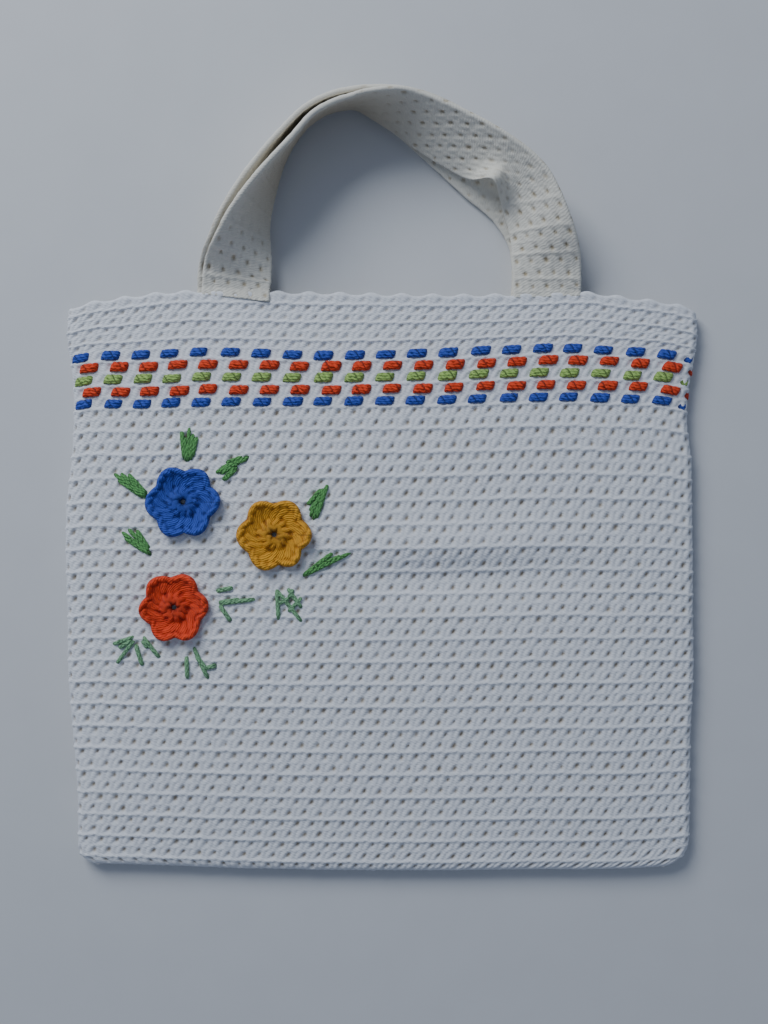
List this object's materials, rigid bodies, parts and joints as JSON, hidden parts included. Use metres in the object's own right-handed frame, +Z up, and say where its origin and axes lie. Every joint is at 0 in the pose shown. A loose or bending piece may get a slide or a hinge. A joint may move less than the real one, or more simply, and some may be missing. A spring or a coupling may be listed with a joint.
{
  "type": "crochet bag",
  "caption": "Flat rectangular crochet handbag lying on its back, with two short strap handles and a spray of crochet flowers on the front.",
  "frame": {"origin": "centre of the pouch's back face, on the surface that the bag lies on", "axes": "+Z up out of the front, +Y from the bottom edge towards the handles, +X to the right seen from above"},
  "size_m": [0.3039, 0.3732, 0.039],
  "materials": {
    "white_cotton": "matt single crochet in mercerised white cotton",
    "blue_cotton": "matt blue cotton yarn",
    "yellow_cotton": "matt ochre yellow cotton yarn",
    "red_cotton": "matt orange red cotton yarn",
    "green_cotton": "matt green cotton embroidery thread"
  },
  "bodies": {
    "root": {"front_panel": "white_cotton", "back_panel": "white_cotton", "handle_front": "white_cotton", "handle_back": "white_cotton", "flower_blue": "blue_cotton", "flower_yellow": "yellow_cotton", "flower_red": "red_cotton"}
  },
  "joints": []
}
